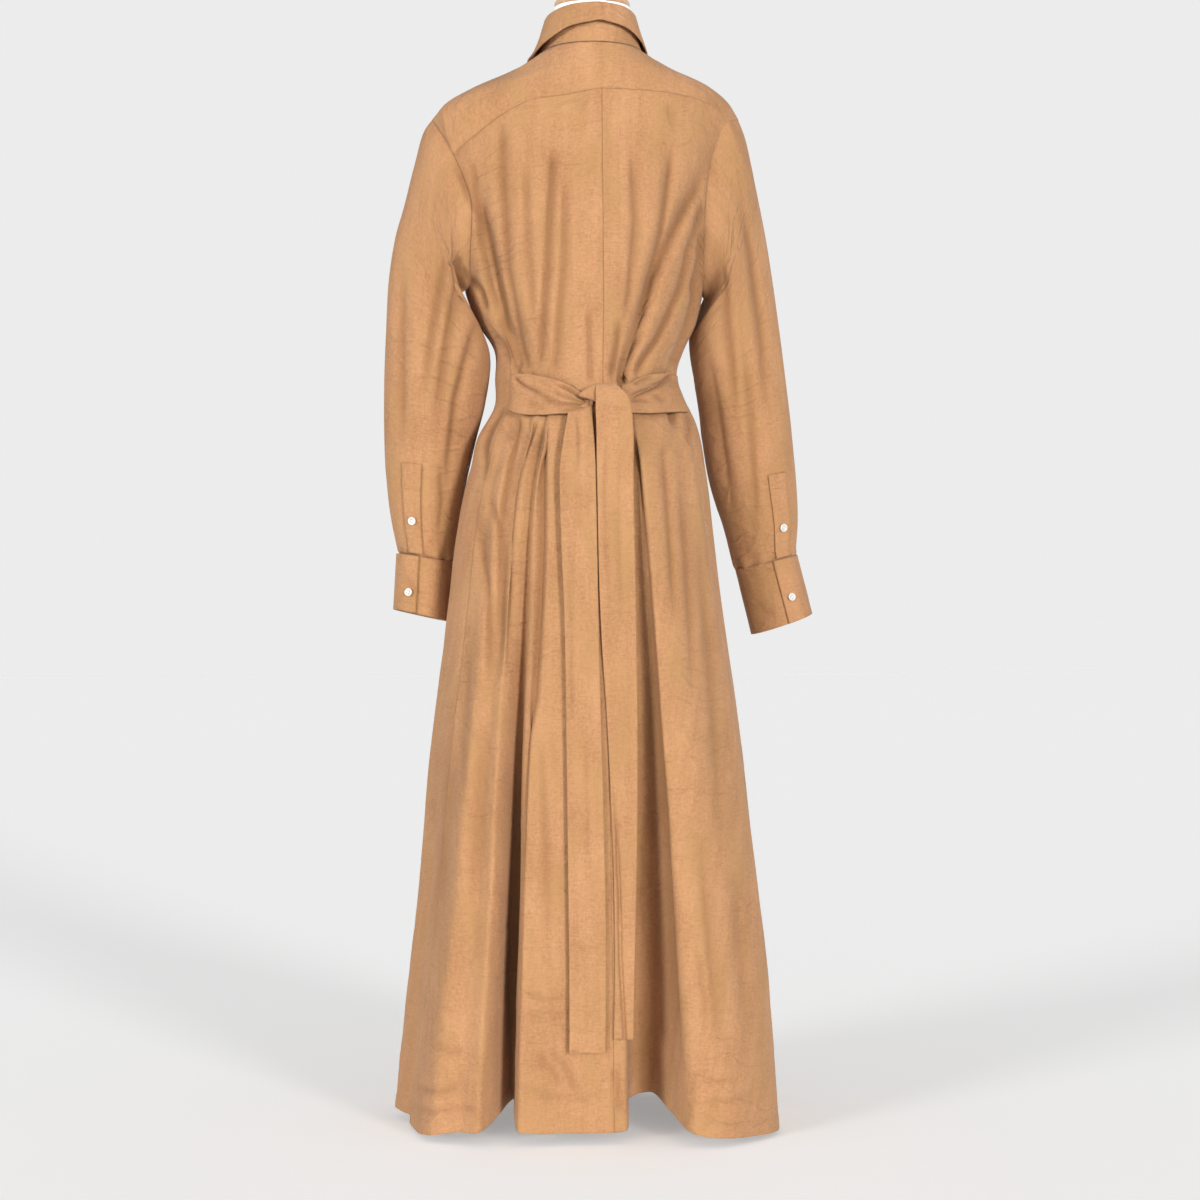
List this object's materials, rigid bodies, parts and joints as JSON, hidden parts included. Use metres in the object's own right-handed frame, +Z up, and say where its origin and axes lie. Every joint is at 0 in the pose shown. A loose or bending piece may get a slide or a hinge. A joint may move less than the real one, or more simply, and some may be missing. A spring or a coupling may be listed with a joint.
{
  "type": "shirt dress on a limbless dress form",
  "caption": "Long-sleeved linen shirt dress with a back-tied belt, worn by a limbless dress form on a stand.",
  "frame": {"origin": "on the stand plate's underside, on the floor, on the pole's axis", "axes": "+Z up, -Y the way the wearer faces, +X the wearer's left"},
  "size_m": [0.5661, 0.4298, 1.43],
  "materials": {
    "linen": "matte",
    "pearl_plastic": "gloss",
    "form_jersey": "matte",
    "form_wood": "satin",
    "form_painted_steel": "satin"
  },
  "bodies": {
    "root": {"back_left": "linen", "back_right": "linen", "belt_knot": "linen", "belt_left": "linen", "belt_right": "linen", "belt_tail_over": "linen", "belt_tail_under": "linen", "button_cuff_left": "pearl_plastic", "button_cuff_right": "pearl_plastic", "button_front_01": "pearl_plastic", "button_front_02": "pearl_plastic", "button_front_03": "pearl_plastic", "button_front_04": "pearl_plastic", "button_front_05": "pearl_plastic", "button_front_06": "pearl_plastic", "button_front_07": "pearl_plastic", "button_front_08": "pearl_plastic", "button_front_09": "pearl_plastic", "button_front_10": "pearl_plastic", "button_placket_left": "pearl_plastic", "button_placket_right": "pearl_plastic", "collar_leaf": "linen", "collar_stand": "linen", "cuff_left": "linen", "cuff_right": "linen", "form_base": "form_painted_steel", "form_cap": "form_wood", "form_pole": "form_painted_steel", "form_torso": "form_jersey", "front_band": "linen", "front_left": "linen", "front_right": "linen", "sleeve_left": "linen", "sleeve_placket_left": "linen", "sleeve_placket_right": "linen", "sleeve_right": "linen", "yoke": "linen"}
  },
  "joints": []
}
